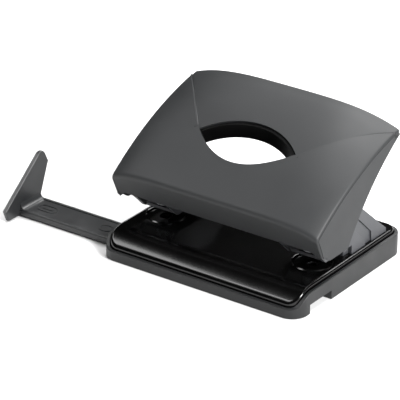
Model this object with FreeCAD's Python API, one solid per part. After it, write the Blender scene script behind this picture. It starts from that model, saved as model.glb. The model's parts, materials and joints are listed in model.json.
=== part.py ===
"""Two-hole desk punch for paper, 80 mm hole spacing.

Frame: X runs along the row of holes, Y from the paper slot to the back, Z up.
The origin is the middle of the chip tray's bottom face. Millimetres throughout.
"""
import FreeCAD
import Part
import math
import os

V = FreeCAD.Vector

# Chip tray, the plastic underside that rests on the desk
TRAY_HALF_X = 53.8
TRAY_HALF_Y = 43.2
TRAY_CORNER = 8.0
TRAY_WALL = 1.8
TRAY_FLOOR = 1.5
RIM_BELOW_PLATE = 1.9      # the rim's top lies this much lower than the plate
LEDGE_BELOW_PLATE = 3.4    # the ledge that carries the plate's skirt

# Base plate, pressed steel with a rolled front edge
PLATE_TOP = 12.3
PLATE_SHEET = 1.0
PLATE_HALF_X = 51.7
PLATE_HALF_Y = 41.1
PLATE_CORNER = 5.9
ROLL_START_Y = -28.0       # where the flat top begins to roll down to the front
ROLL_END = (-42.5, 6.4)    # y, z of the rolled edge's lip
DISH_RADIUS = 9.3
DISH_DEPTH = 0.5

# Hole pattern
HOLE_X = 40.0
HOLE_Y = -11.0
PIN_RADIUS = 2.75
DIE_RADIUS = 2.80
STOP_Y = HOLE_Y + 12.0     # the sheet's edge stops 12 mm behind the hole's centre

# Brackets, folded steel, two cheeks each
SLOT_TOP = 16.7
SLOT_END_Y = 5.0
CHEEK_OUT = (48.0, 50.0)
CHEEK_IN = (30.0, 31.2)
CHEEK_TOP = 32.2
BRACKET_SHEET = 1.2
GUIDE_PLATE_TOP = 18.1
EMBOSS_DEPTH = 0.8

# Hinge of the handle
PIVOT_Y = -22.5
PIVOT_Z = 28.5
PIVOT_RADIUS = 2.0
PIVOT_FIT = 0.05

# Pin stack: bush, spring, seat washer, retaining clip
BUSH_TOP = 21.9
BUSH_RADIUS = 3.6
BUSH_BORE = 2.80
PIN_TIP = 16.8
PIN_HEAD = 31.5
SEAT_Z = (28.7, 29.7)
CLIP_Z = (29.7, 30.5)
GROOVE_RADIUS = 2.1
SPRING_RADIUS = 4.35
SPRING_WIRE = 0.35
SPRING_TURNS = 5

# Lever and press bar, inside each bracket
LEVER_OUT = (45.8, 47.0)
LEVER_IN = (33.0, 34.2)
BAR_RADIUS = 2.5
BAR_Z = PIN_HEAD + 0.25 + BAR_RADIUS
WEB_FRONT = (-21.0, 40.0)
WEB_REAR = (1.0, 51.5)
SCREW_Y = (-15.0, -5.0)

# Handle shell
HANDLE_HALF_X = 55.5
HANDLE_WALL = 1.6
HANDLE_SKIN = 2.2
CREST_FRONT = (-32.5, 41.0)
CREST_MIDDLE = (-1.0, 60.2)
CREST_REAR = (31.0, 70.6)
CREST_DROP = 6.8           # the top falls this much from its middle to its sides
APRON_FOOT = (-28.0, 26.8)
APRON_LEAN = 0.45          # how far the apron leans forward per millimetre up
PANEL_DROP = 2.0           # the rear panel's step at the eye
PANEL_DROP_REAR = 0.35     # what is left of the step at the rear corners
EYE_HALF_X = 26.6
EYE_TIP_Y = -4.8
EYE_REAR_Y = 6.0
EYE_FRONT_Y = -16.8
SMILE_Y = -17.8            # foot of the curve that bounds the rear panel
COLLAR_DEPTH = 7.2
COLLAR_WALL = 1.2

# Paper guide, shown pulled out to the left
GUIDE_Y = (-32.6, -16.6)
GUIDE_Z = (0.9, 3.7)
GUIDE_LENGTH = 107.0
GUIDE_END_X = -108.4
RAIL_WIDTH = 1.4
RAIL_HEIGHT = 0.35
CHANNEL_Y = (-32.9, -16.3)
CHANNEL_TOP = 4.3


# ---------------------------------------------------------------- helpers

def box(x0, x1, y0, y1, z0, z1):
    """A block between two corners."""
    return Part.makeBox(x1 - x0, y1 - y0, z1 - z0, V(x0, y0, z0))


def post(radius, x, y, z0, z1):
    """An upright cylinder."""
    return Part.makeCylinder(radius, z1 - z0, V(x, y, z0), V(0, 0, 1))


def rod(radius, y, z, x0, x1):
    """A cylinder lying along X."""
    return Part.makeCylinder(radius, x1 - x0, V(x0, y, z), V(1, 0, 0))


def rounded_block(half_x, half_y, radius, z0, z1):
    """A block with rounded upright corners."""
    block = box(-half_x, half_x, -half_y, half_y, z0, z1)
    upright = [e for e in block.Edges if abs(e.tangentAt(e.FirstParameter).z) > 0.99]
    return block.makeFillet(radius, upright)


def side_prism(outline, x0, x1):
    """Extrude a closed list of (y, z) corners from x0 to x1."""
    corners = [V(x0, y, z) for y, z in outline]
    face = Part.Face(Part.makePolygon(corners + corners[:1]))
    return face.extrude(V(x1 - x0, 0, 0))


def curve_through(points, start=None, end=None):
    """A smooth curve through points, with tangents at the ends where given."""
    curve = Part.BSplineCurve()
    if start is None:
        curve.interpolate(points)
    else:
        curve.interpolate(Points=points, InitialTangent=start, FinalTangent=end)
    return curve.toShape()


def mirrored(shape):
    """The left-hand twin of a right-hand shape."""
    return shape.mirror(V(0, 0, 0), V(1, 0, 0))


def save(name, shape):
    """Write one sub-part, checking that it is sound."""
    solids = shape.Solids
    if not solids or not shape.isValid():
        raise ValueError("bad shape: " + name)
    part = solids[0] if len(solids) == 1 else Part.makeCompound(solids)
    part.exportStep("parts/" + name + ".step")
    box_ = part.BoundBox
    print("%-20s solids %d  x %.1f..%.1f  y %.1f..%.1f  z %.1f..%.1f" % (
        name, len(solids), box_.XMin, box_.XMax, box_.YMin, box_.YMax, box_.ZMin, box_.ZMax))


def save_pair(name, right):
    """Write a right-hand part and its left-hand twin."""
    save("right_" + name, right)
    save("left_" + name, mirrored(right))


# ---------------------------------------------------------------- base

def under_roll(drop, forward=0.0):
    """Everything under the plate's side outline, moved down and forward."""
    top = PLATE_TOP - drop
    lip_y, lip_z = ROLL_END
    roll = [
        V(0, ROLL_START_Y - forward, top),
        V(0, -33.0 - forward, top - 0.6),
        V(0, -36.2 - forward, top - 2.6),
        V(0, -38.6 - forward, top - 5.0),
        V(0, lip_y - forward, lip_z - drop),
    ]
    curve = curve_through(roll, V(0, -1, 0), V(0, -1, -0.1))
    corners = [
        roll[-1],
        V(0, -70, lip_z - drop),
        V(0, -70, -20),
        V(0, 70, -20),
        V(0, 70, top),
        roll[0],
    ]
    rest = [Part.makeLine(a, b) for a, b in zip(corners, corners[1:])]
    face = Part.Face(Part.Wire([curve] + rest))
    face.translate(V(-70, 0, 0))
    return face.extrude(V(140, 0, 0))


def chip_tray():
    """Open tray with a rim, a ledge for the plate, and the guide's channel."""
    tray = rounded_block(TRAY_HALF_X, TRAY_HALF_Y, TRAY_CORNER, 0, 20)
    tray = tray.common(under_roll(RIM_BELOW_PLATE, 1.4))
    inner = rounded_block(TRAY_HALF_X - TRAY_WALL, TRAY_HALF_Y - TRAY_WALL,
                          TRAY_CORNER - TRAY_WALL, 0, 20)
    tray = tray.cut(inner.cut(under_roll(LEDGE_BELOW_PLATE)))
    bowl = rounded_block(PLATE_HALF_X - PLATE_SHEET, PLATE_HALF_Y - PLATE_SHEET,
                         PLATE_CORNER - PLATE_SHEET, TRAY_FLOOR, 20)
    housing = box(-70, 70, CHANNEL_Y[0] - 1.2, CHANNEL_Y[1] + 1.2, -1, CHANNEL_TOP + 1.2)
    tray = tray.cut(bowl.cut(housing))
    tray = tray.cut(box(-70, 70, CHANNEL_Y[0], CHANNEL_Y[1], -1, CHANNEL_TOP))
    for x in (-44.0, 0.0, 44.0):
        tray = tray.fuse(box(x - 4, x + 4, CHANNEL_Y[0] - 0.2, CHANNEL_Y[0] + 1.3, 0, 0.7))
        tray = tray.fuse(box(x - 4, x + 4, CHANNEL_Y[1] - 1.3, CHANNEL_Y[1] + 0.2, 0, 0.7))
    return tray.removeSplitter()


def plate_blank(inset):
    """The plate's outer form, smaller by inset all round and on top."""
    blank = rounded_block(PLATE_HALF_X - inset, PLATE_HALF_Y - inset,
                          PLATE_CORNER - inset, 0, 20)
    return blank.common(under_roll(inset))


def rivet_spots():
    """Where the brackets' feet are riveted down, right-hand side."""
    return [(x, y) for x in (35.0, 44.5) for y in (9.0, 26.0)]


def base_plate():
    """Pressed plate with a skirt, two dished die seats and rivet holes."""
    plate = plate_blank(0).cut(plate_blank(PLATE_SHEET))
    plate = plate.cut(under_roll(LEDGE_BELOW_PLATE - 0.1))
    for side in (-1, 1):
        x = side * HOLE_X
        seat = PLATE_TOP - DISH_DEPTH
        plate = plate.fuse(post(DISH_RADIUS + 0.8, x, HOLE_Y, seat - PLATE_SHEET, PLATE_TOP))
        plate = plate.cut(post(DISH_RADIUS, x, HOLE_Y, seat, PLATE_TOP + 1))
        plate = plate.cut(post(DIE_RADIUS, x, HOLE_Y, 0, 20))
        for spot_x, spot_y in rivet_spots():
            plate = plate.cut(post(1.5, side * spot_x, spot_y, 5, 20))
    return plate.removeSplitter()


def die():
    """Hardened cutting ring under the plate, relieved below."""
    top = PLATE_TOP - DISH_DEPTH - PLATE_SHEET
    ring = post(7.0, HOLE_X, HOLE_Y, top - 2.0, top)
    ring = ring.cut(post(DIE_RADIUS, HOLE_X, HOLE_Y, top - 3, top + 1))
    return ring.cut(post(DIE_RADIUS + 0.5, HOLE_X, HOLE_Y, top - 3, top - 1.2))


# ---------------------------------------------------------------- brackets

def cheek(x0, x1):
    """One upright cheek: hinge nose, top edge, slanted back, slot below."""
    nose = CHEEK_TOP - PIVOT_Z
    diagonal = nose * math.sqrt(0.5)
    outline = [
        (PIVOT_Y, CHEEK_TOP),
        (12.2, CHEEK_TOP),
        (33.2, 14.0),
        (33.2, PLATE_TOP),
        (SLOT_END_Y, PLATE_TOP),
        (SLOT_END_Y, SLOT_TOP),
        (-15.8, SLOT_TOP),
        (PIVOT_Y - diagonal, PIVOT_Z - diagonal),
        (PIVOT_Y, PIVOT_Z),
    ]
    plate = side_prism(outline, x0, x1).fuse(rod(nose, PIVOT_Y, PIVOT_Z, x0, x1))
    return plate.removeSplitter()


def cheek_channel():
    """The pressed channel that runs down the outer cheek to its foot."""
    outline = [
        (9.7, 27.6),
        (6.6, 23.4),
        (15.6, 15.1),
        (16.4, PLATE_TOP - 1),
        (21.2, PLATE_TOP - 1),
        (20.6, 17.5),
        (11.0, 26.6),
    ]
    return side_prism(outline, CHEEK_OUT[1] - EMBOSS_DEPTH, CHEEK_OUT[1] + 1)


def bracket():
    """Two cheeks joined by the pin guide plate, the paper stop and the foot."""
    across = (CHEEK_IN[1], CHEEK_OUT[0])
    body = cheek(*CHEEK_OUT).cut(cheek_channel())
    body = body.fuse(cheek(*CHEEK_IN))
    body = body.fuse(box(*across, -15.4, STOP_Y + BRACKET_SHEET, SLOT_TOP, GUIDE_PLATE_TOP))
    body = body.fuse(box(*across, STOP_Y, STOP_Y + BRACKET_SHEET, PLATE_TOP, SLOT_TOP))
    body = body.fuse(box(*across, STOP_Y, 31.0, PLATE_TOP, PLATE_TOP + BRACKET_SHEET))
    body = body.cut(post(BUSH_RADIUS, HOLE_X, HOLE_Y, 10, 30))
    body = body.cut(rod(PIVOT_RADIUS, PIVOT_Y, PIVOT_Z, 25, 55))
    for x, y in rivet_spots():
        body = body.cut(post(1.5, x, y, 10, 20))
    return body.removeSplitter()


def rivet(x, y):
    """Round-headed rivet through the foot and the plate."""
    foot = PLATE_TOP + BRACKET_SHEET
    below = PLATE_TOP - PLATE_SHEET
    head = Part.makeSphere(3.2, V(x, y, foot - 2.2))
    head = head.common(box(x - 4, x + 4, y - 4, y + 4, foot, foot + 5))
    tail = post(2.4, x, y, below - 0.6, below)
    return head.fuse(post(1.5, x, y, below, foot)).fuse(tail).removeSplitter()


def guide_bush():
    """Sleeve pressed into the guide plate, which keeps the pin upright."""
    bush = post(BUSH_RADIUS, HOLE_X, HOLE_Y, SLOT_TOP, BUSH_TOP)
    return bush.cut(post(BUSH_BORE, HOLE_X, HOLE_Y, 10, 30))


def pivot_pin():
    """Hinge pin through both cheeks, headed on the outside."""
    pin = rod(PIVOT_RADIUS, PIVOT_Y, PIVOT_Z, CHEEK_IN[0] - 2.0, CHEEK_OUT[1])
    head = rod(3.3, PIVOT_Y, PIVOT_Z, CHEEK_OUT[1], CHEEK_OUT[1] + 1.2)
    edge = [e for e in head.Edges if abs(e.BoundBox.XMin - CHEEK_OUT[1] - 1.2) < 0.01
            and e.BoundBox.XLength < 0.01]
    head = head.makeFillet(0.6, edge)
    groove = rod(3, PIVOT_Y, PIVOT_Z, CHEEK_IN[0] - 0.8, CHEEK_IN[0])
    groove = groove.cut(rod(1.4, PIVOT_Y, PIVOT_Z, 20, 40))
    return pin.fuse(head).cut(groove).removeSplitter()


def pivot_clip():
    """Open clip in the hinge pin's groove."""
    clip = rod(3.3, PIVOT_Y, PIVOT_Z, CHEEK_IN[0] - 0.8, CHEEK_IN[0])
    clip = clip.cut(rod(1.4, PIVOT_Y, PIVOT_Z, 20, 40))
    return clip.cut(box(20, 40, PIVOT_Y - 1.1, PIVOT_Y + 1.1, PIVOT_Z - 5, PIVOT_Z))


# ---------------------------------------------------------------- pins

def punch_pin():
    """Cutting pin with a hollow-ground tip and a groove for its clip."""
    pin = post(PIN_RADIUS, HOLE_X, HOLE_Y, PIN_TIP, PIN_HEAD)
    rim = [e for e in pin.Edges if abs(e.BoundBox.ZMin - PIN_HEAD) < 0.01
           and e.BoundBox.ZLength < 0.01]
    pin = pin.makeChamfer(0.4, rim)
    hollow = Part.makeCylinder(4.6, 12, V(HOLE_X, HOLE_Y - 6, PIN_TIP - 3.8), V(0, 1, 0))
    groove = post(4, HOLE_X, HOLE_Y, *CLIP_Z).cut(post(GROOVE_RADIUS, HOLE_X, HOLE_Y, 20, 40))
    return pin.cut(hollow).cut(groove)


def spring_seat():
    """Washer that the spring pushes up against the clip."""
    washer = post(5.0, HOLE_X, HOLE_Y, *SEAT_Z)
    return washer.cut(post(PIN_RADIUS, HOLE_X, HOLE_Y, 20, 40))


def pin_clip():
    """Open clip in the pin's groove."""
    clip = post(4.2, HOLE_X, HOLE_Y, *CLIP_Z)
    clip = clip.cut(post(GROOVE_RADIUS, HOLE_X, HOLE_Y, 20, 40))
    return clip.cut(box(HOLE_X - 1.7, HOLE_X + 1.7, HOLE_Y, HOLE_Y + 9, 20, 40))


def return_spring():
    """Left compression spring round its bush, between guide plate and seat."""
    low = GUIDE_PLATE_TOP + SPRING_WIRE
    rise = SEAT_Z[0] - GUIDE_PLATE_TOP - 2 * SPRING_WIRE
    points = []
    for i in range(8 * SPRING_TURNS + 1):
        angle = 2 * math.pi * i / 8
        height = rise * i / (8 * SPRING_TURNS)
        points.append(V(SPRING_RADIUS * math.cos(angle), SPRING_RADIUS * math.sin(angle), height))
    line = Part.BSplineCurve()
    line.interpolate(points)
    start = line.tangent(line.FirstParameter)[0]
    ring = Part.Wire([Part.makeCircle(SPRING_WIRE, points[0], start)])
    coil = Part.Wire([line.toShape()]).makePipeShell([ring], True, True)
    coil.translate(V(-HOLE_X, HOLE_Y, low))
    return coil


# ---------------------------------------------------------------- handle

def crest(y):
    """Height of the handle's middle line at y, on a circle through 3 points."""
    (y1, z1), (y2, z2), (y3, z3) = CREST_FRONT, CREST_MIDDLE, CREST_REAR
    circle = Part.Arc(V(0, y1, z1), V(0, y2, z2), V(0, y3, z3)).toShape().Curve
    return circle.Center.z + math.sqrt(circle.Radius ** 2 - (y - circle.Center.y) ** 2)


def crown(y, half_x, step, lower):
    """Closed cross-section of the handle at y: arched top, upright sides."""
    along = (y - CREST_FRONT[0]) / (CREST_REAR[0] - CREST_FRONT[0])
    power = 6.5 - 2.9 * min(max(along, 0.0), 1.0)
    forward = min((CREST_REAR[0] - y) / (CREST_REAR[0] - EYE_TIP_Y), 1.0)
    drop = step * max(forward, PANEL_DROP_REAR / PANEL_DROP)
    middle = crest(y) - lower - drop
    top = []
    for share in (-1, -0.96, -0.88, -0.75, -0.5, 0, 0.5, 0.75, 0.88, 0.96, 1):
        top.append(V(share * half_x, y, middle - CREST_DROP * abs(share) ** power))
    arch = curve_through(top)
    left, right = V(-half_x, y, 0), V(half_x, y, 0)
    sides = [
        Part.makeLine(top[-1], right),
        Part.makeLine(right, left),
        Part.makeLine(left, top[0]),
    ]
    return Part.Wire([arch] + sides)


def crowned_block(half_x, step=0.0, lower=0.0):
    """Solid under the handle's arched top surface."""
    stations = (-40.0, -24.0, -6.0, 12.0, 27.0, 42.0)
    return Part.makeLoft([crown(y, half_x, step, lower) for y in stations], True, False)


def apron_line(z, inset=0.0):
    """The apron's y at height z, moved inward by inset."""
    return APRON_FOOT[0] - APRON_LEAN * (z - APRON_FOOT[1]) + inset


def handle_side(half_x):
    """Side outline of the handle, extruded across its width."""
    front = [
        V(-half_x, apron_line(80), 80),
        V(-half_x, *APRON_FOOT),
        V(-half_x, -27.0, 24.6),
        V(-half_x, -24.3, 23.9),
        V(-half_x, -21.0, 21.5),
        V(-half_x, -6.5, 21.5),
    ]
    rear_top = V(-half_x, 33.2, 61.2)
    rear = Part.Arc(front[-1], V(-half_x, 11.0, 43.6), rear_top).toShape()
    above = V(-half_x, 30.6, 80)
    edges = [Part.makeLine(a, b) for a, b in zip(front, front[1:])]
    edges += [rear, Part.makeLine(rear_top, above), Part.makeLine(above, front[0])]
    return Part.Face(Part.Wire(edges)).extrude(V(2 * half_x, 0, 0))


def smile_prism():
    """Upright prism behind the curve that bounds the lowered rear panel."""
    half = [(13.0, -14.4), (25.5, -4.4), (40.0, 11.0), (54.5, 29.0), (58.0, 33.5)]
    points = [V(-x, y, 0) for x, y in reversed(half)]
    points += [V(0, SMILE_Y, 0)]
    points += [V(x, y, 0) for x, y in half]
    smile = curve_through(points)
    back = [points[-1], V(58.0, 60, 0), V(-58.0, 60, 0), points[0]]
    edges = [smile] + [Part.makeLine(a, b) for a, b in zip(back, back[1:])]
    return Part.Face(Part.Wire(edges)).extrude(V(0, 0, 100))


def eye_prism(grow=0.0):
    """Upright prism of the eye-shaped opening, grown or shrunk all round."""
    tip = EYE_HALF_X + grow * 1.6
    left, right = V(-tip, EYE_TIP_Y, 0), V(tip, EYE_TIP_Y, 0)
    rear = Part.Arc(left, V(0, EYE_REAR_Y + grow, 0), right).toShape()
    bend = 13.0 + grow * 0.5
    front = curve_through([right, V(bend, -13.97 - grow, 0), V(0, EYE_FRONT_Y - grow, 0),
                           V(-bend, -13.97 - grow, 0), left])
    return Part.Face(Part.Wire([rear, front])).extrude(V(0, 0, 100))


def web_normal():
    """Unit vector square to the lever's web, pointing up."""
    run = WEB_REAR[0] - WEB_FRONT[0]
    rise = WEB_REAR[1] - WEB_FRONT[1]
    return V(0, -rise, run).normalize()


def web_point(y):
    """Point on the web's upper face above the pin row, at y."""
    share = (y - WEB_FRONT[0]) / (WEB_REAR[0] - WEB_FRONT[0])
    return V(HOLE_X, y, WEB_FRONT[1] + share * (WEB_REAR[1] - WEB_FRONT[1]))


def handle_cavity(lower):
    """The hollow inside the handle, open behind and below."""
    hollow = crowned_block(HANDLE_HALF_X - HANDLE_WALL, PANEL_DROP, lower)
    wall = 1.8
    keep = [
        (apron_line(90, wall), 90),
        (apron_line(-10, wall), -10),
        (90, -10),
        (90, 90),
    ]
    return hollow.common(side_prism(keep, -70, 70))


def handle_shell():
    """Moulded handle with a lowered rear panel and an eye-shaped opening."""
    top = crowned_block(HANDLE_HALF_X)
    lowered = crowned_block(HANDLE_HALF_X, PANEL_DROP)
    shell = top.cut(smile_prism().cut(lowered))
    shell = shell.common(handle_side(HANDLE_HALF_X))
    shell = shell.cut(handle_cavity(HANDLE_SKIN))
    shell = shell.cut(box(-51.5, 51.5, -45, -20, 0, APRON_FOOT[1]))
    shell = shell.cut(eye_prism())
    up = web_normal()
    for side in (-1, 1):
        for y in SCREW_Y:
            start = web_point(y)
            start.x = side * HOLE_X
            shell = shell.fuse(Part.makeCylinder(3.0, 5.6, start, up))
            shell = shell.cut(Part.makeCylinder(1.25, 4.6, start, up))
    return shell.removeSplitter()


def eye_collar():
    """Dark trim that lines the eye, with a flange under the shell."""
    ring = eye_prism().cut(eye_prism(-COLLAR_WALL))
    ring = ring.common(crowned_block(HANDLE_HALF_X, PANEL_DROP, 0.8))
    ring = ring.cut(crowned_block(HANDLE_HALF_X, PANEL_DROP, COLLAR_DEPTH))
    flange = eye_prism(2.5).cut(eye_prism(-0.6))
    flange = flange.common(handle_cavity(HANDLE_SKIN)).cut(handle_cavity(HANDLE_SKIN + 1.2))
    return ring.fuse(flange).removeSplitter()


def lever():
    """Steel lever inside the bracket: two cheeks and a web under the shell."""
    outline = [
        (-25.8, 30.0),
        (-24.5, 38.17),
        WEB_REAR,
        (WEB_REAR[0], 46.5),
        (-8.0, 32.5),
        (-13.0, 30.5),
        (-19.0, 25.5),
    ]
    outline[1] = (-24.5, web_point(-24.5).z)
    body = None
    for x0, x1 in (LEVER_IN, LEVER_OUT):
        plate = side_prism(outline, x0, x1)
        plate = plate.fuse(rod(3.9, PIVOT_Y, PIVOT_Z, x0, x1))
        plate = plate.fuse(rod(3.9, HOLE_Y, BAR_Z, x0, x1))
        body = plate if body is None else body.fuse(plate)
    down = web_normal() * -BRACKET_SHEET
    front, rear = web_point(-24.5), web_point(WEB_REAR[0])
    web = [(p.y, p.z) for p in (front, rear, rear + down, front + down)]
    body = body.fuse(side_prism(web, LEVER_IN[0], LEVER_OUT[1]))
    body = body.cut(rod(PIVOT_RADIUS + PIVOT_FIT, PIVOT_Y, PIVOT_Z, 25, 55))
    body = body.cut(rod(BAR_RADIUS, HOLE_Y, BAR_Z, 25, 55))
    for y in SCREW_Y:
        start = web_point(y) - web_normal() * 3
        body = body.cut(Part.makeCylinder(1.5, 6, start, web_normal()))
    return body.removeSplitter()


def press_bar():
    """Cross bar of the lever, which bears on the pin's head."""
    return rod(BAR_RADIUS, HOLE_Y, BAR_Z, LEVER_IN[0] - 0.6, LEVER_OUT[1] + 0.6)


def lever_screw(y):
    """Pan-head screw from below the web up into the shell's boss."""
    up = web_normal()
    base = web_point(y) - up * BRACKET_SHEET
    shank = Part.makeCylinder(1.25, BRACKET_SHEET + 4.4, base, up)
    head = Part.makeCylinder(2.7, 1.6, base - up * 1.6, up)
    cross = Part.makeBox(3.2, 0.7, 0.9, V(-1.6, -0.35, 0))
    cross = cross.fuse(Part.makeBox(0.7, 3.2, 0.9, V(-0.35, -1.6, 0)))
    turn = FreeCAD.Rotation(V(0, 0, 1), up)
    cross.Placement = FreeCAD.Placement(base - up * 1.6, turn)
    return shank.fuse(head).cut(cross).removeSplitter()


# ---------------------------------------------------------------- paper guide

def stadium(x, y, length, width, z0, z1):
    """Upright prism with round ends, long side along X."""
    half = (length - width) / 2
    core = box(x - half, x + half, y - width / 2, y + width / 2, z0, z1)
    ends = post(width / 2, x - half, y, z0, z1).fuse(post(width / 2, x + half, y, z0, z1))
    return core.fuse(ends)


def guide_fin():
    """End stop that the sheet's edge rests against."""
    points = [
        V(0, -18.0, 26.0),
        V(0, -42.6, 6.0),
        V(0, -40.6, 0.9),
        V(0, GUIDE_Y[1], 0.9),
        V(0, GUIDE_Y[1] - 0.4, 4.5),
        V(0, -10.6, 20.6),
        V(0, -12.6, 24.8),
    ]
    crown_top = Part.Arc(points[-1], V(0, -15.2, 26.9), points[0]).toShape()
    edges = [Part.makeLine(a, b) for a, b in zip(points, points[1:])]
    fin = Part.Face(Part.Wire(edges + [crown_top])).extrude(V(-2.2, 0, 0))
    fin.translate(V(GUIDE_END_X, 0, 0))
    outer = [e for e in fin.Edges if e.BoundBox.XLength < 0.01 and e.BoundBox.ZMax > 5]
    return fin.makeFillet(0.6, outer)


def paper_guide():
    """Sliding bar with edge rails, raised size marks and the end stop."""
    x0, x1 = GUIDE_END_X, GUIDE_END_X + GUIDE_LENGTH
    y0, y1 = GUIDE_Y
    z0, z1 = GUIDE_Z
    bar = box(x0, x1, y0, y1, z0, z1)
    bar = bar.cut(box(x0 + 3, x1 - 3, y0 + 1.6, y1 - 1.6, z0 - 1, z1 - 1.2))
    for step in range(1, 6):
        x = x0 + step * GUIDE_LENGTH / 6
        bar = bar.fuse(box(x - 0.6, x + 0.6, y0 + 1, y1 - 1, z0 + 0.3, z1))
    bar = bar.fuse(box(x0, x1, y0, y0 + RAIL_WIDTH, z1, z1 + RAIL_HEIGHT))
    bar = bar.fuse(box(x0, x1, y1 - RAIL_WIDTH, y1, z1, z1 + RAIL_HEIGHT))
    middle = (y0 + y1) / 2
    for x, length in ((-98.0, 11.0), (-64.0, 7.5)):
        outside = stadium(x, middle, length, 6.0, z1, z1 + 0.3)
        bar = bar.fuse(outside.cut(stadium(x, middle, length - 1.2, 4.8, z1, z1 + 1)))
    bar = bar.fuse(stadium(-98.0, middle, 6.0, 1.4, z1, z1 + 0.3))
    arch = Part.makeCylinder(3.5, y1 - y0 - 1.0, V(x0 + 3.5, y0 + 0.5, z1 + 3.5), V(0, 1, 0))
    gusset = box(x0, x0 + 3.5, y0 + 0.5, y1 - 0.5, z1, z1 + 3.5).cut(arch)
    return bar.fuse(gusset).fuse(guide_fin()).removeSplitter()


# ---------------------------------------------------------------- assembly

def main():
    os.makedirs("parts", exist_ok=True)
    save("chip_tray", chip_tray())
    save("base_plate", base_plate())
    save("paper_guide", paper_guide())
    save("handle_shell", handle_shell())
    save("eye_collar", eye_collar())
    spring = return_spring()
    save("left_return_spring", spring)
    twin = spring.copy()
    twin.translate(V(2 * HOLE_X, 0, 0))
    save("right_return_spring", twin)
    pairs = {
        "die": die(),
        "bracket": bracket(),
        "guide_bush": guide_bush(),
        "pivot_pin": pivot_pin(),
        "punch_pin": punch_pin(),
        "spring_seat": spring_seat(),
        "pin_clip": pin_clip(),
        "lever": lever(),
        "press_bar": press_bar(),
    }
    for name, right in pairs.items():
        save_pair(name, right)
    rivets = [rivet(x, y) for x, y in rivet_spots()]
    save("bracket_rivets", Part.makeCompound(rivets + [mirrored(r) for r in rivets]))
    screws = [lever_screw(y) for y in SCREW_Y]
    save("lever_screws", Part.makeCompound(screws + [mirrored(s) for s in screws]))
    clip = pivot_clip()
    save("pivot_clips", Part.makeCompound([clip, mirrored(clip)]))


main()
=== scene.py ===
"""Looks of a two-hole desk punch, built round its packed mechanical model.

The frame's units are metres. Outlines below are written in millimetres, as on a drawing,
and are turned to metres where a mesh is made.
"""
import json
import math

import bpy
from bpy.props import FloatProperty, FloatVectorProperty, PointerProperty
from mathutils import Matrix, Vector

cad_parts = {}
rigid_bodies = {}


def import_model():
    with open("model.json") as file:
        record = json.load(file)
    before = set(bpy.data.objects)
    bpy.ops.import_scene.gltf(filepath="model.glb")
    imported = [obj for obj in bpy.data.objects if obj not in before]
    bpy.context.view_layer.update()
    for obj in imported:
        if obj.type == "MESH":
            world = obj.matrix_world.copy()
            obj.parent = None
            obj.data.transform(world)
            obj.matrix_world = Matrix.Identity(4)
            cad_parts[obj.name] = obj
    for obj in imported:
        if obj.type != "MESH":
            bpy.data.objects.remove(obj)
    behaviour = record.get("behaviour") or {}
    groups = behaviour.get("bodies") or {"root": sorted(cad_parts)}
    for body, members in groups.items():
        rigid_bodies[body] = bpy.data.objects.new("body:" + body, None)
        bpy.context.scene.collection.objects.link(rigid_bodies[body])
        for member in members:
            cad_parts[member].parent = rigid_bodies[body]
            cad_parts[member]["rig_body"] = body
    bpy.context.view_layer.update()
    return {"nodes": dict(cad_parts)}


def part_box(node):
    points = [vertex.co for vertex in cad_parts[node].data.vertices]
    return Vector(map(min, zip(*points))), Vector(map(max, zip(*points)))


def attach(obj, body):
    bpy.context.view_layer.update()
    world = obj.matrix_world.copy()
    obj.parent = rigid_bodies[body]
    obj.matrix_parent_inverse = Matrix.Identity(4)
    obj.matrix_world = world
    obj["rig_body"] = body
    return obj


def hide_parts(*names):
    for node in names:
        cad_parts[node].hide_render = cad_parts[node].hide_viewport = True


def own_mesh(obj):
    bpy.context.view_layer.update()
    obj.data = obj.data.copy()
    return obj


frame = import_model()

bl_info = {
    "name": "Desk Punch Looks",
    "version": (1, 0, 0),
    "blender": (4, 5, 0),
    "location": "3D View > Sidebar > Punch",
    "description": "Finishes the pieces of a two-hole desk punch and sets its stage",
    "category": "Object",
}

MM = 0.001

# ---------------------------------------------------------------- driving sizes, mm

# Handle: side outline points are (y, z), plan points are (x, y)
HALF_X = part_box("handle_shell")[1].x / MM
CREST = ((-32.5, 41.0), (-1.0, 60.2), (31.0, 70.6))
CROWN_POWER = (6.5, 2.9)   # exponent of the crown at the front, and its fall to the rear
APRON_FOOT = (-28.0, 26.8)
APRON_LEAN = 0.45          # the apron leans forward this much per millimetre up
EAR_RAMP = (50.6, 53.2)    # over this the apron's foot slopes down to the ear
EAR_FOOT_Z = 24.6
WALL_FOOT = ((-24.3, 23.9), (-21.0, 21.5))
WALL_REAR = ((-6.5, 21.5), (11.0, 43.6), (33.2, 61.2))
REAR_LEAN = 0.138          # the rear edge leans forward this much per millimetre up
EYE_TIP = (26.6, -4.8)
EYE_FRONT_Y = -16.8
EYE_REAR_Y = 6.0
EYE_FRONT_BEND = (0.98, 0.02)   # shares of the square and the fourth power in its front edge
PANEL_SHRINK = 35.8        # the panel's step fades over this length
PANEL_LEAST = 0.175        # share of the step that is left at the rear
STEP_LINE = (1.149, 0.00223)    # slope and curve of the step beyond the eye's tip
STEP_WIDTH = 1.6
STEP_GROOVE = 0.42         # depth of the fine groove along the step
SEAM_ROUND = 0.8
SEAM_ROOM = 0.3            # most of the side wall's height that the seam's round takes
GROOVE_DEPTH = 0.3
GROOVE_CHAIN = ((1.0, 0.0), (1.15, 1.0), (1.5, 1.0), (1.65, 0.0))   # reach, share of depth
CREASE_REACH = 2.2
CREASE_RUN = 0.78          # the crease's run on the top, as a share of its reach
BOSS = (3.0, 1.25)         # screw boss and its bore, radii
BOSS_SIDES = 32
BOSS_LENGTH = 5.4
BOSS_BORE_DEPTH = 4.4
SCREW_Y = (-15.0, -5.0)
WEB_FRONT = (-21.0, 40.0)
WEB_REAR = (1.0, 51.5)

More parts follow.
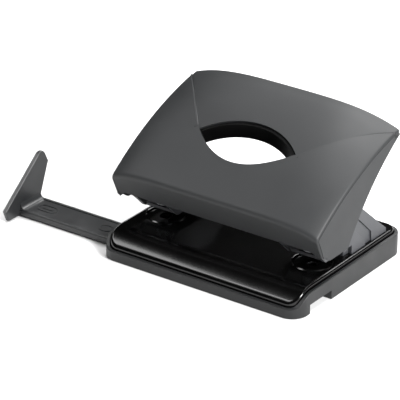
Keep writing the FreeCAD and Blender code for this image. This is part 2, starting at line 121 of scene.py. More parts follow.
# Rows of the handle's skin, from the apron's foot to the rear edge
APRON_ROWS = 5
CREASE_ROWS = 6
FRONT_ROWS = 26
STEP_ROWS = 6
PANEL_ROWS = 16
ROWS = APRON_ROWS + CREASE_ROWS + FRONT_ROWS + STEP_ROWS + PANEL_ROWS
FIRST_STEP_ROW = APRON_ROWS + CREASE_ROWS + FRONT_ROWS
EYE_COLUMNS = 18
TIP_COLUMNS = (0.0, 0.35, 0.9, 1.8)     # x beyond the eye's tip
MIDDLE_COLUMNS = 13
MIDDLE_START = 3.2                      # x beyond the eye's tip
EAR_COLUMNS = (EAR_RAMP[0], 51.4, 52.3, EAR_RAMP[1], 54.0)
WALL_COLUMNS = 6
WALL_ARC_STEPS = 40
BLEND_ROWS = 3             # rows at each end where the wall's columns turn to its foot
SOLVE_STEPS = 14           # rounds that find where two outlines meet

# Base plate
PLATE_HALF = (51.7, 41.1)
PLATE_CORNER = 5.9
PLATE_TOP = 12.3
PLATE_SHEET = 1.0
SKIRT = 3.3
PLATE_EDGE = 1.2
CORNER_SEGMENTS = 14
ROLL_CUTS = 34
ROLL_START_Y = -30.0       # the flat top ends here and rolls down to the front
ROLL_LENGTH = 11.1
ROLL_FALL = 5.75
ROLL_POWER = 1.8           # above 1, the roll is steepest at its lip
HOLE = (40.0, -11.0)
DISH_PROFILE = (            # radius, height of the cutter that sinks a die seat
    (2.8, 10.0), (2.8, 11.7), (3.0, 11.82), (8.5, 11.82), (8.9, 11.87),
    (9.15, 11.99), (9.35, 12.15), (9.6, 12.26), (9.95, 12.31), (9.95, 14.0),
)
ROUND_SIDES = 72
BEAD = (8.9, 0.5, 12.1)    # bead round a die seat: ring radius, round radius, height

# Return springs
SPRING_MEAN = 4.35
SPRING_WIRE = 0.35
SPRING_Z = (18.45, 28.35)
SPRING_TURNS = 6
SPRING_STEPS = 40          # points in each turn
SPRING_CLOSE = 0.55        # how much the end turns close up

# Paper guide: front edge of its rail (y, z) and the round on it
GUIDE_RAIL = (-32.6, 4.05)
GUIDE_RAIL_ROUND = 1.2

# Working limits
NEAR = 0.02                # mm within which an edge or face counts as being at a place
WELD = 2e-6                # metres, for copies of CAD nodes
WELD_HANDLE = 1e-5         # metres, for the handle's halves
WELD_FINE = 1e-6           # metres, for the mirror's seam and the springs
FLAT_ANGLE = 0.4           # degrees under which neighbouring triangles are one face
SHARP_ANGLE = 38           # degrees over which a copied node's edge is rounded
RIM_ANGLE = 60             # the same for the handle's rims

# Studio: name, place in metres, width and height in metres, power in watts
SOFTBOXES = (
    ("key_above", (0.0, 0.82, 1.38), (1.30, 1.10), 50),
    ("front_left_strip", (-0.74, -0.60, 0.98), (1.30, 0.30), 9),
    ("side_right", (1.20, -0.22, 0.80), (0.60, 0.60), 50),
)
FLOOR_SIZE = 2.4           # metres
LIGHT_AIM = (0, 0, 0.03)   # metres
AIR_GLOW = 0.015           # light from the room itself, which the camera still sees as white


# ---------------------------------------------------------------- sizes and colours to change

def linear(code):
    """sRGB hex colour to linear RGBA."""
    parts = [int(code[k:k + 2], 16) / 255 for k in (1, 3, 5)]
    line = [c / 12.92 if c <= 0.04045 else ((c + 0.055) / 1.055) ** 2.4 for c in parts]
    return (*line, 1.0)


def colour(name, code):
    """A colour that the user can change, with its sRGB hex default."""
    return FloatVectorProperty(name=name, description="Colour of the " + name.lower(),
                               default=linear(code)[:3], subtype="COLOR", min=0.0, max=1.0)


class PunchHandleSettings(bpy.types.PropertyGroup):
    """Sizes of the handle."""
    wall: FloatProperty(name="Wall", description="Wall thickness of the moulded handle",
                        default=1.7 * MM, min=0.8 * MM, max=2.2 * MM, unit="LENGTH")
    crest_drop: FloatProperty(name="Crown", description="How far the top falls to its sides",
                              default=6.8 * MM, min=0.0, max=10 * MM, unit="LENGTH")
    panel_step: FloatProperty(name="Panel step", description="Depth of the rear panel at the eye",
                              default=2.0 * MM, min=0.2 * MM, max=4 * MM, unit="LENGTH")
    edge: FloatProperty(name="Edge", description="Rounding of the handle's rims",
                        default=0.3 * MM, min=0.05 * MM, max=0.6 * MM, unit="LENGTH")


class PunchPlateSettings(bpy.types.PropertyGroup):
    """Edge rounding of the tray and of the pressed parts."""
    tray_edge: FloatProperty(name="Tray edge", description="Rounding of the tray's edges",
                             default=0.5 * MM, min=0.05 * MM, max=1 * MM, unit="LENGTH")
    part_edge: FloatProperty(name="Sheet edge", description="Rounding of the pressed parts' edges",
                             default=0.22 * MM, min=0.02 * MM, max=0.5 * MM, unit="LENGTH")


class PunchColourSettings(bpy.types.PropertyGroup):
    """Colours of the finishes and the floor."""
    handle: colour("Handle plastic", "#252627")
    tray: colour("Tray plastic", "#121314")
    guide: colour("Guide plastic", "#1d1e1f")
    # Collar colour: black plastic, set near zero as painted shade for the shaded inside of the
    # eye.
    collar: colour("Collar plastic", "#020202")
    plate: colour("Plate lacquer", "#030303")
    bracket: colour("Bracket paint", "#353639")
    lever: colour("Lever steel", "#48494b")
    steel: colour("Turned steel", "#b6b8bb")
    spring: colour("Spring wire", "#9b9da0")
    floor: colour("Floor paper", "#d2d2d2")


class PunchStageSettings(bpy.types.PropertyGroup):
    """Camera and light."""
    azimuth: FloatProperty(name="Azimuth", description="Direction that the camera looks from",
                           default=math.radians(35.91), subtype="ANGLE")
    elevation: FloatProperty(name="Elevation", description="Height angle of the camera",
                             default=math.radians(25.87), subtype="ANGLE")
    distance: FloatProperty(name="Distance", description="Camera to the aimed point",
                            default=1.2528, min=0.5, max=4.0, unit="LENGTH")
    aim: FloatVectorProperty(name="Aim", description="Point that the camera looks at",
                             default=(-0.0146, -0.0199, 0.0303), subtype="XYZ")
    lens: FloatProperty(name="Lens", description="Focal length in millimetres",
                        default=253.7, min=35.0, max=400.0)


# ---------------------------------------------------------------- small helpers

def circle(a, b, c):
    """Centre and radius of the circle through three points of a plane."""
    (ax, ay), (bx, by), (cx, cy) = a, b, c
    d = 2 * (ax * (by - cy) + bx * (cy - ay) + cx * (ay - by))
    aa, bb, cc = ax * ax + ay * ay, bx * bx + by * by, cx * cx + cy * cy
    ux = (aa * (by - cy) + bb * (cy - ay) + cc * (ay - by)) / d
    uy = (aa * (cx - bx) + bb * (ax - cx) + cc * (bx - ax)) / d
    return ux, uy, math.hypot(ax - ux, ay - uy)


def between(low, high, count):
    """count values from low, evenly spaced, stopping short of high."""
    return [low + (high - low) * k / count for k in range(count)]


def bend(start, corner, end, share):
    """Point on the rounded corner from start to end."""
    return start.lerp(corner, share).lerp(corner.lerp(end, share), share)


def clear_selection():
    """Object mode with nothing selected."""
    if bpy.context.object and bpy.context.object.mode != "OBJECT":
        bpy.ops.object.mode_set(mode="OBJECT")
    bpy.ops.object.select_all(action="DESELECT")


def choose(obj, others=()):
    """Object mode with obj active, and only it and the others selected."""
    clear_selection()
    for piece in (*others, obj):
        piece.select_set(True)
    bpy.context.view_layer.objects.active = obj


def edit(obj):
    """Only obj is selected, and it is in edit mode with nothing picked."""
    choose(obj)
    bpy.ops.object.mode_set(mode="EDIT")
    bpy.ops.mesh.select_all(action="DESELECT")


def pick(obj, kind, test):
    """In edit mode, pick the faces or edges whose middle passes the test."""
    bpy.ops.mesh.select_mode(type=kind)
    bpy.ops.object.mode_set(mode="OBJECT")
    mesh = obj.data
    for group in (mesh.vertices, mesh.edges, mesh.polygons):
        group.foreach_set("select", [False] * len(group))
    if kind == "FACE":
        for face in mesh.polygons:
            face.select = test(face.center / MM)
    else:
        for line in mesh.edges:
            a, b = (mesh.vertices[k].co / MM for k in line.vertices)
            line.select = test((a + b) / 2)
    bpy.ops.object.mode_set(mode="EDIT")


def object_mode():
    """Back to object mode, which writes the edited mesh."""
    bpy.ops.object.mode_set(mode="OBJECT")


def added(name):
    """The primitive just added, renamed."""
    obj = bpy.context.object
    obj.name = name
    obj.data.name = name
    return obj


def modify(obj, kind, **settings):
    """Add a modifier with its settings and apply it."""
    choose(obj)
    modifier = obj.modifiers.new(kind.title(), kind)
    for key, value in settings.items():
        setattr(modifier, key, value)
    bpy.ops.object.modifier_apply(modifier=modifier.name)


def place_in_mesh(obj):
    """Moves the object's place and turn into its mesh."""
    choose(obj)
    bpy.ops.object.transform_apply(location=True, rotation=True, scale=True)


def join_into(obj, pieces):
    """The pieces become part of obj's mesh, each still a closed shell of its own."""
    choose(obj, pieces)
    bpy.ops.object.join()


def soften(obj, angle=32):
    """Smooth shading that stays crisp where faces meet at more than angle degrees."""
    choose(obj)
    bpy.ops.object.shade_smooth_by_angle(angle=math.radians(angle))
    modify(obj, "WEIGHTED_NORMAL", keep_sharp=True)


def hand_over(obj, node, material):
    """The finished piece takes its CAD node's place, body, slot and finish."""
    obj.data.materials.clear()
    obj.data.materials.append(material)
    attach(obj, frame["nodes"][node]["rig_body"])
    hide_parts(node)


def refined(node, material, width, segments=2, rail=None):
    """A copy of a CAD node, its triangles joined up and its edges rounded. rail is the
    (y, z) of a long edge that gets the guide rail's larger round."""
    source = frame["nodes"][node]
    obj = bpy.data.objects.new(node + "_finished", source.data.copy())
    bpy.context.scene.collection.objects.link(obj)
    edit(obj)
    bpy.ops.mesh.select_all(action="SELECT")
    bpy.ops.mesh.customdata_custom_splitnormals_clear()
    bpy.ops.mesh.remove_doubles(threshold=WELD)
    bpy.ops.mesh.dissolve_limited(angle_limit=math.radians(FLAT_ANGLE))
    if rail:
        pick(obj, "EDGE", lambda c: abs(c.y - rail[0]) < NEAR and abs(c.z - rail[1]) < NEAR)
        bpy.ops.mesh.bevel(offset=GUIDE_RAIL_ROUND * MM, segments=5, affect="EDGES")
    object_mode()
    modify(obj, "BEVEL", width=width, segments=segments, limit_method="ANGLE",
           angle_limit=math.radians(SHARP_ANGLE), use_clamp_overlap=True)
    soften(obj)
    hand_over(obj, node, material)


# ---------------------------------------------------------------- finishes

def add_node(tree, kind, links=None, **settings):
    """One node with its settings, its values and the sockets that feed it."""
    node = tree.nodes.new(kind)
    for key, value in settings.items():
        setattr(node, key, value)
    for name, value in (links or {}).items():
        if isinstance(value, bpy.types.NodeSocket):
            tree.links.new(value, node.inputs[name])
        else:
            node.inputs[name].default_value = value
    return node


def finish(name, base, spread, rough, mottle_mm, bumps, **constants):
    """A surface whose base colour drifts by spread, as a share, and whose roughness drifts
    between two values, both over mottle_mm, with bumps of (size in mm, height in mm). The
    other shader values are constants."""
    material = bpy.data.materials.new(name)
    material.use_nodes = True
    tree = material.node_tree
    tree.nodes.clear()
    dark, light = ((*(part * share for part in base), 1) for share in (1 - spread, 1 + spread))
    place = add_node(tree, "ShaderNodeTexCoord").outputs["Object"]
    drift = add_node(tree, "ShaderNodeTexNoise", {
        "Vector": place, "Scale": 1 / (mottle_mm * MM), "Detail": 3.0, "Roughness": 0.55})
    tone = add_node(tree, "ShaderNodeMixRGB", {
        "Fac": drift.outputs["Fac"], "Color1": dark, "Color2": light})
    polish = add_node(tree, "ShaderNodeMapRange", {
        "Value": drift.outputs["Fac"], "From Min": 0.3, "From Max": 0.7,
        "To Min": rough[0], "To Max": rough[1]})
    shape = None
    for size, height in bumps:
        grain = add_node(tree, "ShaderNodeTexNoise", {
            "Vector": place, "Scale": 1 / (size * MM), "Detail": 2.0, "Roughness": 0.5})
        values = {"Height": grain.outputs["Fac"], "Strength": 1.0, "Distance": height * MM}
        if shape:
            values["Normal"] = shape
        shape = add_node(tree, "ShaderNodeBump", values).outputs["Normal"]
    values = {"Base Color": tone.outputs["Color"], "Roughness": polish.outputs["Result"],
              "Normal": shape}
    values.update(constants)
    shader = add_node(tree, "ShaderNodeBsdfPrincipled", values)
    add_node(tree, "ShaderNodeOutputMaterial", {"Surface": shader.outputs["BSDF"]})
    return material


def make_finishes(colours):
    """Every finish of the punch, by its slot."""
    return {
        # ABS moulded against a spark-eroded tool: satin charcoal with a fine tooth.
        # The real grit is about 0.1 mm; it is drawn at 0.5 mm so that it shows.
        "handle_plastic": finish("moulded_ABS_charcoal", colours.handle, 0.1, (0.46, 0.56),
                                 22, [(0.5, 0.006)], **{"Specular IOR Level": 0.3}),
        # PP moulded, soft and slightly waxy, matt near-black.
        "tray_plastic": finish("moulded_PP_black", colours.tray, 0.15, (0.44, 0.56),
                               14, [(0.6, 0.008)], IOR=1.49),
        # Acrylic lacquer over pressed steel: gloss black with a faint orange peel.
        "plate_lacquer": finish("lacquered_steel_black", colours.plate, 0.3, (0.13, 0.18),
                                30, [(2.6, 0.0009)], IOR=1.48),
        # Powder coat on folded steel: satin dark grey, pebbled at about 0.7 mm.
        "bracket_paint": finish("powder_coated_steel_grey", colours.bracket, 0.1, (0.38, 0.48),
                                9, [(0.7, 0.006)], IOR=1.5),
        # Phosphated steel: dull dark metal with a blotchy tone.
        "lever_steel": finish("phosphated_steel", colours.lever, 0.3, (0.42, 0.58),
                              4, [(0.5, 0.004)], Metallic=1.0),
        # Turned and polished steel.
        "steel": finish("turned_steel", colours.steel, 0.12, (0.18, 0.28),
                        2.5, [(0.4, 0.002)], Metallic=1.0),
        # Drawn spring wire, bright and a little uneven.
        "spring_steel": finish("drawn_spring_wire", colours.spring, 0.12, (0.24, 0.34),
                               1.5, [(0.35, 0.002)], Metallic=1.0),
        # ABS moulded, matt black. Its near-zero colour and low specular are partly painted shade
        # for the shaded inside of the eye, so that the eye reads as a dark ring.
        "collar_plastic": finish("moulded_ABS_black_painted_shade", colours.collar, 0.3, (0.40, 0.50),
                                 12, [(0.5, 0.004)], **{"Specular IOR Level": 0.1}),
        # PP moulded guide, black with a soft sheen on its rails.
        "guide_plastic": finish("moulded_PP_guide", colours.guide, 0.15, (0.32, 0.42),
                                12, [(0.55, 0.006)], IOR=1.49),
    }


FINISHES = {}


# ---------------------------------------------------------------- handle outline, mm

def crest(y):
    """Height of the handle's middle line."""
    cy, cz, radius = circle(*CREST)
    return cz + math.sqrt(radius ** 2 - (y - cy) ** 2)


def top_z(x, y, drop):
    """Height of the crowned top."""
    along = min(max((y - CREST[0][0]) / (CREST[2][0] - CREST[0][0]), 0.0), 1.0)
    return crest(y) - drop * (abs(x) / HALF_X) ** (CROWN_POWER[0] - CROWN_POWER[1] * along)


def apron_y(z):
    """The apron's y at height z."""
    return APRON_FOOT[0] - APRON_LEAN * (z - APRON_FOOT[1])


def step_depth(y, step):
    """How far the rear panel lies below the front surface's line."""
    return step * max(min((CREST[2][0] - y) / PANEL_SHRINK, 1.0), PANEL_LEAST)


def eye_edges(x):
    """y of the front and rear limits of the step, or of the eye inside its tips."""
    beyond = abs(x) - EYE_TIP[0]
    if beyond <= 0:
        share = abs(x) / EYE_TIP[0]
        bow = EYE_FRONT_BEND[0] * share ** 2 + EYE_FRONT_BEND[1] * share ** 4
        front = EYE_FRONT_Y + (EYE_TIP[1] - EYE_FRONT_Y) * bow
        _, cy, radius = circle((-EYE_TIP[0], EYE_TIP[1]), (0, EYE_REAR_Y), EYE_TIP)
        return front, cy + math.sqrt(radius ** 2 - x * x)
    middle = EYE_TIP[1] + STEP_LINE[0] * beyond + STEP_LINE[1] * beyond ** 2
    half = STEP_WIDTH / 2 * (1 - math.exp(-beyond))
    return middle - half, middle + half


def column(x, drop, step):
    """The handle's skin at x as (y, z) points from the apron's foot to the rear edge."""
    ear = min(max((abs(x) - EAR_RAMP[0]) / (EAR_RAMP[1] - EAR_RAMP[0]), 0.0), 1.0)
    foot_z = APRON_FOOT[1] + (EAR_FOOT_Z - APRON_FOOT[1]) * ear
    y = CREST[0][0]
    for _ in range(SOLVE_STEPS):
        y = apron_y(top_z(x, y, drop))
    corner = Vector((y, top_z(x, y, drop)))
    foot = Vector((apron_y(foot_z), foot_z))
    start = corner + (foot - corner).normalized() * CREASE_REACH
    end_y = y + CREASE_REACH * CREASE_RUN
    end = Vector((end_y, top_z(x, end_y, drop)))
    points = [foot.lerp(start, k / APRON_ROWS) for k in range(APRON_ROWS)]
    points += [bend(start, corner, end, k / CREASE_ROWS) for k in range(CREASE_ROWS)]
    front, rear = eye_edges(x)
    points += [Vector((v, top_z(x, v, drop))) for v in between(end_y, front, FRONT_ROWS)]
    for k in range(STEP_ROWS):
        share = k / STEP_ROWS
        v = front + (rear - front) * share
        fall = step_depth(v, step) * share * share * (3 - 2 * share)
        fall += STEP_GROOVE * math.sin(math.pi * share) ** 2
        points.append(Vector((v, top_z(x, v, drop) - fall)))
    edge = WALL_REAR[2][0]
    for _ in range(SOLVE_STEPS):
        z = top_z(x, edge, drop) - step_depth(edge, step)
        edge = WALL_REAR[2][0] - REAR_LEAN * (z - WALL_REAR[2][1])
    for v in between(rear, edge, PANEL_ROWS) + [edge]:
        points.append(Vector((v, top_z(x, v, drop) - step_depth(v, step))))
    return points


def top_columns():
    """x of the columns from the middle to the seam, closer where the shape turns."""
    eye = between(0.0, EYE_TIP[0], EYE_COLUMNS)
    tip = [EYE_TIP[0] + beyond for beyond in TIP_COLUMNS]
    middle = between(EYE_TIP[0] + MIDDLE_START, EAR_RAMP[0], MIDDLE_COLUMNS)
    return eye + tip + middle + [*EAR_COLUMNS, HALF_X - SEAM_ROUND]


def running_length(points):
    """Distance along points up to each, as shares of the whole."""
    total = [0.0]
    for a, b in zip(points, points[1:]):
        total.append(total[-1] + (b - a).length)
    return [t / total[-1] for t in total]


def wall_feet(seam):
    """For each seam point, its partner on the side wall's lower outline."""
    cy, cz, radius = circle(*WALL_REAR)
    first, last = (math.atan2(p[1] - cz, p[0] - cy) for p in (WALL_REAR[0], WALL_REAR[2]))
    turns = between(first, last, WALL_ARC_STEPS) + [last]
    outline = [Vector(p) for p in WALL_FOOT]
    outline += [Vector((cy + radius * math.cos(a), cz + radius * math.sin(a))) for a in turns]
    shares = running_length(outline)
    along = running_length(seam)
    feet = []
    for share in along:
        k = max(i for i in range(len(shares) - 1) if shares[i] <= share + 1e-9)
        part = (share - shares[k]) / (shares[k + 1] - shares[k])
        feet.append(outline[k].lerp(outline[k + 1], part))
    for corner in (1, 2):
        nearest = min(range(len(along)), key=lambda i: abs(along[i] - shares[corner]))
        feet[nearest] = outline[corner]
    return feet


def inward(line, seam, feet, row):
    """Direction in the wall's plane, away from the seam, whose run without its step is line."""
    before, after = line[max(row - 1, 0)], line[min(row + 1, len(line) - 1)]
    run = (after - before).normalized()
    across = Vector((run.y, -run.x))
    to_foot = (feet[row] - seam[row]).normalized()
    ends = min(row, len(seam) - 1 - row)
    blend = max(0.0, 1 - ends / BLEND_ROWS)
    return (across * (1 - blend) + to_foot * blend).normalized()


def handle_skin(drop, step):
    """Rows of columns of points of the right half, from the middle to the wall's foot."""
    columns = [[Vector((x, *p)) for p in column(x, drop, step)] for x in top_columns()]
    seam = column(HALF_X, drop, step)
    line = column(HALF_X, drop, 0)
    feet = wall_feet(seam)
    rounding = (0.25, 0.5, 0.75)
    sides = [[] for _ in range(len(rounding) + len(GROOVE_CHAIN) + WALL_COLUMNS)]
    for row, point in enumerate(seam):
        away = inward(line, seam, feet, row)
        room = (feet[row] - point).length
        reach = min(SEAM_ROUND, SEAM_ROOM * room)
        corner = Vector((HALF_X, *point))
        start = columns[-1][row]
        end = Vector((HALF_X, *(point + away * reach)))
        chain = [bend(start, corner, end, share) for share in rounding]
        for far, sunk in GROOVE_CHAIN:
            spot = point + away * reach * far
            chain.append(Vector((HALF_X - sunk * GROOVE_DEPTH, *spot)))
        last = point + away * reach * GROOVE_CHAIN[-1][0]
        for k in range(1, WALL_COLUMNS + 1):
            chain.append(Vector((HALF_X, *last.lerp(feet[row], k / WALL_COLUMNS))))
        for side, spot in zip(sides, chain):
            side.append(spot)
    return columns + sides


# ---------------------------------------------------------------- pieces

def screw_boss(side, y):
    """Round boss with a screw bore, square to the lever's web."""
    share = (y - WEB_FRONT[0]) / (WEB_REAR[0] - WEB_FRONT[0])
    foot = Vector((side * HOLE[0], y, WEB_FRONT[1] + share * (WEB_REAR[1] - WEB_FRONT[1])))
    up = Vector((0, WEB_FRONT[1] - WEB_REAR[1], WEB_REAR[0] - WEB_FRONT[0])).normalized()
    turn = up.to_track_quat("Z", "Y").to_euler()
    clear_selection()
    bpy.ops.mesh.primitive_cylinder_add(
        vertices=BOSS_SIDES, radius=BOSS[0] * MM, depth=BOSS_LENGTH * MM, rotation=turn,
        location=(foot + up * BOSS_LENGTH / 2) * MM)
    boss = added("screw_boss")
    edit(boss)
    bottom = -BOSS_LENGTH / 2
    pick(boss, "FACE", lambda c: abs(c.z - bottom) < NEAR)
    bpy.ops.mesh.inset(thickness=(BOSS[0] - BOSS[1]) * MM)
    bpy.ops.mesh.extrude_region_move(
        TRANSFORM_OT_translate={"value": up * BOSS_BORE_DEPTH * MM, "orient_type": "GLOBAL"})
    object_mode()
    place_in_mesh(boss)
    return boss


class PUNCH_OT_handle(bpy.types.Operator):
    """Mould the handle: crowned top, lowered rear panel, eye, apron and side walls"""
    bl_idname = "punch.handle"
    bl_label = "Handle"

    def execute(self, context):
        settings = context.scene.punch_handle
        drop, step = settings.crest_drop / MM, settings.panel_step / MM
        columns = handle_skin(drop, step)
        clear_selection()
        across, along = len(columns) - 1, ROWS
        bpy.ops.mesh.primitive_grid_add(x_subdivisions=across, y_subdivisions=along, size=2 * MM)
        handle = added("handle_shell_finished")
        edit(handle)
        low, high = (2 * (FIRST_STEP_ROW + k) / along - 1 for k in (0, STEP_ROWS))
        eye_end = 2 * EYE_COLUMNS / across - 1
        pick(handle, "FACE", lambda c: c.x < eye_end and low < c.y < high)
        bpy.ops.mesh.delete(type="FACE")
        object_mode()
        for vertex in handle.data.vertices:
            i = round((vertex.co.x / MM + 1) / 2 * across)
            j = round((vertex.co.y / MM + 1) / 2 * along)
            vertex.co = columns[i][j] * MM
        modify(handle, "MIRROR", use_axis=(True, False, False), merge_threshold=WELD_FINE)
        edit(handle)
        bpy.ops.mesh.select_all(action="SELECT")
        bpy.ops.mesh.remove_doubles(threshold=WELD_HANDLE)
        object_mode()
        modify(handle, "SOLIDIFY", thickness=settings.wall, offset=-1, use_quality_normals=True)
        modify(handle, "BEVEL", width=settings.edge, segments=3, limit_method="ANGLE",
               angle_limit=math.radians(RIM_ANGLE), use_clamp_overlap=True)
        for vertex in handle.data.vertices:
            vertex.co.x = max(min(vertex.co.x, HALF_X * MM), -HALF_X * MM)
        bosses = [screw_boss(side, y) for side in (-1, 1) for y in SCREW_Y]
        join_into(handle, bosses)
        soften(handle, angle=40)
        hand_over(handle, "handle_shell", FINISHES["handle_plastic"])
        return {"FINISHED"}


def roll_height(y):
    """Height of the plate's top at y: flat, then rolled down ever more steeply."""
    share = min(max((ROLL_START_Y - y) / ROLL_LENGTH, 0.0), 1.0)
    return PLATE_TOP - ROLL_FALL * share ** ROLL_POWER


def lathe(name, centre, profile):
    """A closed turned solid: a round blank drawn up and out along (radius, height)."""
    clear_selection()
    (radius, height), rest = profile[0], profile[1:]
    bpy.ops.mesh.primitive_circle_add(vertices=ROUND_SIDES, radius=radius * MM, fill_type="NGON",
                                      location=(centre[0] * MM, centre[1] * MM, height * MM))
    solid = added(name)
    place_in_mesh(solid)
    edit(solid)
    bpy.ops.mesh.select_all(action="SELECT")
    for next_radius, next_height in rest:
        bpy.ops.mesh.extrude_region_move(
            TRANSFORM_OT_translate={"value": (0, 0, (next_height - height) * MM)})
        scale = next_radius / radius
        spot = (centre[0] * MM, centre[1] * MM, next_height * MM)
        bpy.ops.transform.resize(value=(scale, scale, 1), center_override=spot)
        radius, height = next_radius, next_height
    bpy.ops.mesh.select_all(action="SELECT")
    bpy.ops.mesh.normals_make_consistent(inside=False)
    object_mode()
    return solid


def seat_bead(side):
    """Raised bead pressed round one die seat, as a four-sided ring let into its top."""
    clear_selection()
    ring, round_radius, height = BEAD
    bpy.ops.mesh.primitive_torus_add(
        major_segments=ROUND_SIDES, minor_segments=4, major_radius=ring * MM,
        minor_radius=round_radius * MM, location=(side * HOLE[0] * MM, HOLE[1] * MM, height * MM))
    bead = added("seat_bead")
    place_in_mesh(bead)
    return bead


class PUNCH_OT_plate(bpy.types.Operator):
    """Press the base plate: rounded blank, skirt, die seats and rolled front"""
    bl_idname = "punch.plate"
    bl_label = "Base plate"

    def execute(self, context):
        clear_selection()
        bpy.ops.mesh.primitive_plane_add(size=2 * MM, location=(0, 0, PLATE_TOP * MM))
        plate = added("base_plate_finished")
        plate.scale = (*PLATE_HALF, 1)
        place_in_mesh(plate)
        edit(plate)
        bpy.ops.mesh.select_all(action="SELECT")
        bpy.ops.mesh.bevel(offset=PLATE_CORNER * MM, segments=CORNER_SEGMENTS, affect="VERTICES")
        bpy.ops.mesh.select_all(action="SELECT")
        bpy.ops.mesh.extrude_region_move(TRANSFORM_OT_translate={"value": (0, 0, -SKIRT * MM)})
        bpy.ops.mesh.delete(type="ONLY_FACE")
        pick(plate, "EDGE", lambda c: c.z > PLATE_TOP - NEAR)
        bpy.ops.mesh.bevel(offset=PLATE_EDGE * MM, segments=6, affect="EDGES")
        bpy.ops.mesh.select_all(action="SELECT")
        bpy.ops.mesh.normals_make_consistent(inside=False)
        for y in between(-PLATE_HALF[1], ROLL_START_Y, ROLL_CUTS)[1:]:
            bpy.ops.mesh.select_all(action="SELECT")
            bpy.ops.mesh.bisect(plane_co=(0, y * MM, 0), plane_no=(0, 1, 0))
        object_mode()
        modify(plate, "SOLIDIFY", thickness=PLATE_SHEET * MM, offset=-1)
        for side in (-1, 1):
            cutter = lathe("seat_cutter", (side * HOLE[0], HOLE[1]), DISH_PROFILE)
            modify(plate, "BOOLEAN", operation="DIFFERENCE", object=cutter, solver="EXACT")
            bpy.data.objects.remove(cutter)
        beads = [seat_bead(side) for side in (-1, 1)]
        join_into(plate, beads)
        for vertex in plate.data.vertices:
            vertex.co.z += (roll_height(vertex.co.y / MM) - PLATE_TOP) * MM
        soften(plate, angle=34)
        hand_over(plate, "base_plate", FINISHES["plate_lacquer"])
        return {"FINISHED"}


class PUNCH_OT_tray(bpy.types.Operator):
    """Round off the chip tray and the paper guide"""
    bl_idname = "punch.tray"
    bl_label = "Tray and guide"

    def execute(self, context):
        edge = context.scene.punch_plate.tray_edge
        refined("chip_tray", FINISHES["tray_plastic"], edge, segments=3)
        refined("paper_guide", FINISHES["guide_plastic"], edge / 2,
                segments=3, rail=GUIDE_RAIL)
        refined("eye_collar", FINISHES["collar_plastic"], edge / 3)
        return {"FINISHED"}


class PUNCH_OT_mechanism(bpy.types.Operator):
    """Finish the brackets, levers, pins, clips and fasteners"""
    bl_idname = "punch.mechanism"
    bl_label = "Mechanism"

    def execute(self, context):
        edge = context.scene.punch_plate.part_edge
        slots = {"bracket": "bracket_paint", "lever": "lever_steel", "die": "steel",
                 "guide_bush": "steel", "pivot_pin": "steel", "punch_pin": "steel",
                 "spring_seat": "steel", "pin_clip": "spring_steel", "press_bar": "steel"}
        for side in ("left_", "right_"):
            for part, slot in slots.items():
                wide = edge if part in ("bracket", "lever") else edge / 2
                refined(side + part, FINISHES[slot], wide)
        for group, slot in (("bracket_rivets", "steel"), ("lever_screws", "steel"),
                            ("pivot_clips", "spring_steel")):
            refined(group, FINISHES[slot], edge / 2)
        return {"FINISHED"}


class PUNCH_OT_springs(bpy.types.Operator):
    """Wind the two return springs, with closed end turns"""
    bl_idname = "punch.springs"
    bl_label = "Return springs"

    def execute(self, context):
        steps = SPRING_STEPS * SPRING_TURNS
        for side, name in ((-1, "left"), (1, "right")):
            line = bpy.data.curves.new(name + "_spring_line", "CURVE")
            line.dimensions = "3D"
            path = line.splines.new("POLY")
            path.points.add(steps)
            for k, point in enumerate(path.points):
                share = k / steps
                climb = share - SPRING_CLOSE * math.sin(2 * math.pi * share) / (2 * math.pi)
                angle = 2 * math.pi * SPRING_TURNS * share
                x = side * HOLE[0] + SPRING_MEAN * math.cos(angle)
                y = HOLE[1] + SPRING_MEAN * math.sin(angle)
                z = SPRING_Z[0] + (SPRING_Z[1] - SPRING_Z[0]) * climb
                point.co = (x * MM, y * MM, z * MM, 1)
            line.bevel_depth = SPRING_WIRE * MM
            line.bevel_resolution = 4
            line.use_fill_caps = True
            coil = bpy.data.objects.new(name + "_return_spring_finished", line)
            context.scene.collection.objects.link(coil)
            choose(coil)
            bpy.ops.object.convert(target="MESH")
            coil = context.object
            edit(coil)
            bpy.ops.mesh.select_all(action="SELECT")
            bpy.ops.mesh.remove_doubles(threshold=WELD_FINE)
            bpy.ops.mesh.normals_make_consistent(inside=False)
            object_mode()
            soften(coil, angle=50)
            hand_over(coil, name + "_return_spring", FINISHES["spring_steel"])
            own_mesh(coil)
        return {"FINISHED"}


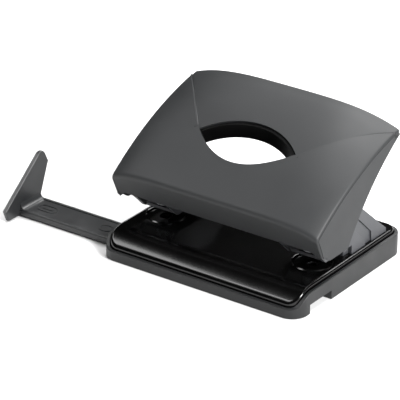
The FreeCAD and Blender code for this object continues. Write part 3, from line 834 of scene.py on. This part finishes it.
class PUNCH_OT_stage(bpy.types.Operator):
    """Set the pale floor, the soft studio light and the camera"""
    bl_idname = "punch.stage"
    bl_label = "Stage"

    def execute(self, context):
        settings = context.scene.punch_stage
        clear_selection()
        bpy.ops.mesh.primitive_plane_add(size=FLOOR_SIZE, location=(0, 0, 0))
        floor = added("studio_floor")
        floor.data.materials.append(floor_paper(context.scene.punch_colours))
        world = bpy.data.worlds.new("studio_air")
        context.scene.world = world
        world.use_nodes = True
        tree = world.node_tree
        tree.nodes.clear()
        # The air is white where the camera sees it, but lights the punch only faintly.
        seen = add_node(tree, "ShaderNodeLightPath").outputs["Is Camera Ray"]
        glow = add_node(tree, "ShaderNodeMapRange", {
            "Value": seen, "To Min": AIR_GLOW, "To Max": 1.0}).outputs["Result"]
        air = add_node(tree, "ShaderNodeBackground", {"Color": (1, 1, 1, 1), "Strength": glow})
        add_node(tree, "ShaderNodeOutputWorld", {"Surface": air.outputs["Background"]})
        for name, place, size, power in SOFTBOXES:
            softbox(name, place, size, power)
        tilt = settings.elevation
        turn = settings.azimuth
        back = Vector((math.sin(turn) * math.cos(tilt), -math.cos(turn) * math.cos(tilt),
                       math.sin(tilt)))
        camera = bpy.data.objects.new("camera", bpy.data.cameras.new("camera"))
        context.scene.collection.objects.link(camera)
        camera.location = Vector(settings.aim) + back * settings.distance
        camera.rotation_mode = "QUATERNION"
        camera.rotation_quaternion = (-back).to_track_quat("-Z", "Y")
        camera.data.lens = settings.lens
        camera.data.sensor_width = 36.0
        camera.data.clip_end = 50.0
        context.scene.camera = camera
        context.scene.view_settings.view_transform = "Standard"
        return {"FINISHED"}


def floor_paper(colours):
    """Matt pale paper sweep, a little uneven in tone."""
    return finish("matt_paper", colours.floor, 0.02, (0.85, 0.95), 300, [(40, 0.01)],
                  **{"Specular IOR Level": 0.1})


def softbox(name, place, size, power):
    """A soft light of width by height in metres, aimed at the punch."""
    lamp = bpy.data.lights.new(name, "AREA")
    lamp.shape = "RECTANGLE"
    lamp.size, lamp.size_y = size
    lamp.energy = power
    light = bpy.data.objects.new(name, lamp)
    bpy.context.scene.collection.objects.link(light)
    light.location = place
    light.rotation_mode = "QUATERNION"
    light.rotation_quaternion = (Vector(LIGHT_AIM) - Vector(place)).to_track_quat("-Z", "Y")


class PUNCH_PT_panel(bpy.types.Panel):
    """Settings and steps of the punch"""
    bl_idname = "PUNCH_PT_panel"
    bl_label = "Desk punch"
    bl_space_type = "VIEW_3D"
    bl_region_type = "UI"
    bl_category = "Punch"

    def draw(self, context):
        for group in (getattr(context.scene, name) for name in SETTINGS):
            for key in group.bl_rna.properties.keys():
                if key not in ("rna_type", "name"):
                    self.layout.prop(group, key)
        for step in STEPS:
            self.layout.operator(step.bl_idname)


SETTINGS = {
    "punch_handle": PunchHandleSettings,
    "punch_plate": PunchPlateSettings,
    "punch_colours": PunchColourSettings,
    "punch_stage": PunchStageSettings,
}
STEPS = (PUNCH_OT_handle, PUNCH_OT_plate, PUNCH_OT_tray, PUNCH_OT_mechanism,
         PUNCH_OT_springs, PUNCH_OT_stage)


def register():
    """Registers the settings, the steps and the panel."""
    for kind in (*SETTINGS.values(), *STEPS, PUNCH_PT_panel):
        bpy.utils.register_class(kind)
    for name, kind in SETTINGS.items():
        setattr(bpy.types.Scene, name, PointerProperty(type=kind))


def unregister():
    """Takes them off again, in reverse."""
    for name in SETTINGS:
        delattr(bpy.types.Scene, name)
    for kind in (PUNCH_PT_panel, *reversed(STEPS), *reversed(SETTINGS.values())):
        bpy.utils.unregister_class(kind)


def main():
    """Builds every piece and the stage."""
    register()
    FINISHES.update(make_finishes(bpy.context.scene.punch_colours))
    bpy.ops.punch.handle()
    bpy.ops.punch.plate()
    bpy.ops.punch.tray()
    bpy.ops.punch.mechanism()
    bpy.ops.punch.springs()
    bpy.ops.punch.stage()


if __name__ == "__main__":
    main()
